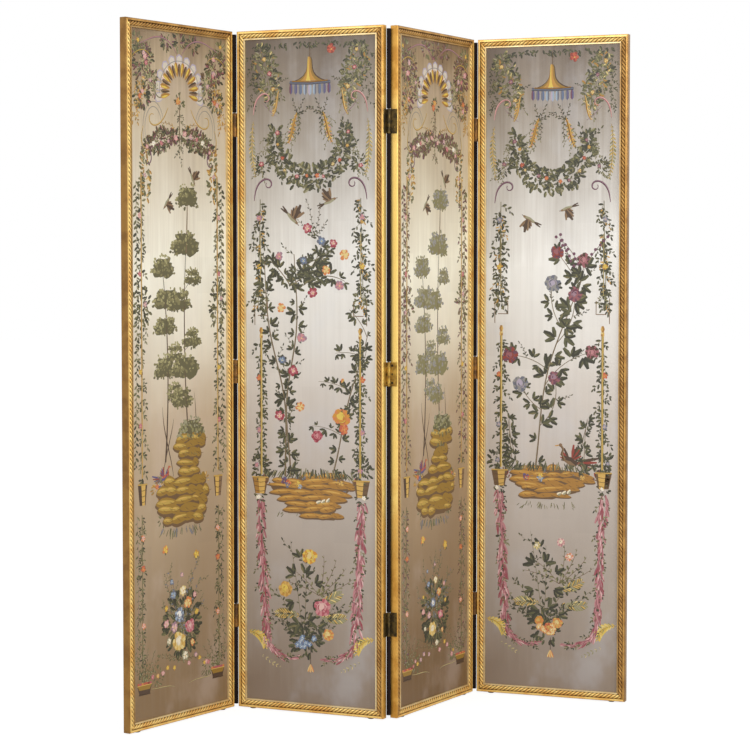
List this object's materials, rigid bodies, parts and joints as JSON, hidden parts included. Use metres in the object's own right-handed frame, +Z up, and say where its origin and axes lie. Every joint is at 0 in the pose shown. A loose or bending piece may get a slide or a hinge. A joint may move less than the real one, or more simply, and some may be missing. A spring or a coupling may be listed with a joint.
{
  "type": "folding screen",
  "caption": "Free-standing folding screen of hinged leaves, each a painted board in a gilt rope-moulded frame with a plain lacquered back.",
  "frame": {"origin": "middle of the footprint of the standing screen, on the floor under the glides", "axes": "+Z up, +X along the row of leaves from the viewer's left to right, the painted fronts face -Y"},
  "size_m": [1.3402, 0.59, 1.83],
  "materials": {
    "gilt_moulding": "carved wood, gilt, aged with dark recesses",
    "painted_silver_leaf": "board laid with silver leaf, tarnished and varnished, painted with ornament",
    "black_lacquer": "board in dark lacquer, semi-gloss",
    "bare_wood": "bare softwood, inside the leaf",
    "hinge_brass": "aged brass with a dark patina",
    "pin_steel": "dull steel"
  },
  "bodies": {
    "panel_1": {"panel_1_left_stile": "gilt_moulding", "panel_1_right_stile": "gilt_moulding", "panel_1_top_rail": "gilt_moulding", "panel_1_bottom_rail": "gilt_moulding", "panel_1_lower_batten": "bare_wood", "panel_1_upper_batten": "bare_wood", "panel_1_front_board": "painted_silver_leaf", "panel_1_back_board": "black_lacquer", "hinge_1_2_lower_leaf_on_panel_1": "hinge_brass", "hinge_1_2_middle_leaf_on_panel_1": "hinge_brass", "hinge_1_2_upper_leaf_on_panel_1": "hinge_brass"},
    "panel_2": {"panel_2_left_stile": "gilt_moulding", "panel_2_right_stile": "gilt_moulding", "panel_2_top_rail": "gilt_moulding", "panel_2_bottom_rail": "gilt_moulding", "panel_2_lower_batten": "bare_wood", "panel_2_upper_batten": "bare_wood", "panel_2_front_board": "painted_silver_leaf", "panel_2_back_board": "black_lacquer", "hinge_1_2_lower_leaf_on_panel_2": "hinge_brass", "hinge_1_2_middle_leaf_on_panel_2": "hinge_brass", "hinge_1_2_upper_leaf_on_panel_2": "hinge_brass", "hinge_1_2_lower_pin": "pin_steel", "hinge_1_2_middle_pin": "pin_steel", "hinge_1_2_upper_pin": "pin_steel", "hinge_2_3_lower_leaf_on_panel_2": "hinge_brass", "hinge_2_3_middle_leaf_on_panel_2": "hinge_brass", "hinge_2_3_upper_leaf_on_panel_2": "hinge_brass", "hinge_2_3_lower_pin": "pin_steel", "hinge_2_3_middle_pin": "pin_steel", "hinge_2_3_upper_pin": "pin_steel"},
    "panel_3": {"panel_3_left_stile": "gilt_moulding", "panel_3_right_stile": "gilt_moulding", "panel_3_top_rail": "gilt_moulding", "panel_3_bottom_rail": "gilt_moulding", "panel_3_lower_batten": "bare_wood", "panel_3_upper_batten": "bare_wood", "panel_3_front_board": "painted_silver_leaf", "panel_3_back_board": "black_lacquer", "hinge_2_3_lower_leaf_on_panel_3": "hinge_brass", "hinge_2_3_middle_leaf_on_panel_3": "hinge_brass", "hinge_2_3_upper_leaf_on_panel_3": "hinge_brass", "hinge_3_4_lower_leaf_on_panel_3": "hinge_brass", "hinge_3_4_middle_leaf_on_panel_3": "hinge_brass", "hinge_3_4_upper_leaf_on_panel_3": "hinge_brass", "hinge_3_4_lower_pin": "pin_steel", "hinge_3_4_middle_pin": "pin_steel", "hinge_3_4_upper_pin": "pin_steel"},
    "panel_4": {"panel_4_left_stile": "gilt_moulding", "panel_4_right_stile": "gilt_moulding", "panel_4_top_rail": "gilt_moulding", "panel_4_bottom_rail": "gilt_moulding", "panel_4_lower_batten": "bare_wood", "panel_4_upper_batten": "bare_wood", "panel_4_front_board": "painted_silver_leaf", "panel_4_back_board": "black_lacquer", "hinge_3_4_lower_leaf_on_panel_4": "hinge_brass", "hinge_3_4_middle_leaf_on_panel_4": "hinge_brass", "hinge_3_4_upper_leaf_on_panel_4": "hinge_brass"}
  },
  "joints": [
    {"name": "fold_1_2", "type": "hinge", "parent": "panel_2", "child": "panel_1", "pos_m": [-0.40206, 0.06159, 0.91745], "axis": [0, 0, 1], "range_deg": [-79, 101]},
    {"name": "fold_2_3", "type": "hinge", "parent": "panel_2", "child": "panel_3", "pos_m": [0.01206, -0.09427, 0.91745], "axis": [0, 0, 1], "range_deg": [-83.6, 96.4]},
    {"name": "fold_3_4", "type": "hinge", "parent": "panel_3", "child": "panel_4", "pos_m": [0.25547, 0.27524, 0.91745], "axis": [0, 0, -1], "range_deg": [-81.1, 98.9]}
  ]
}
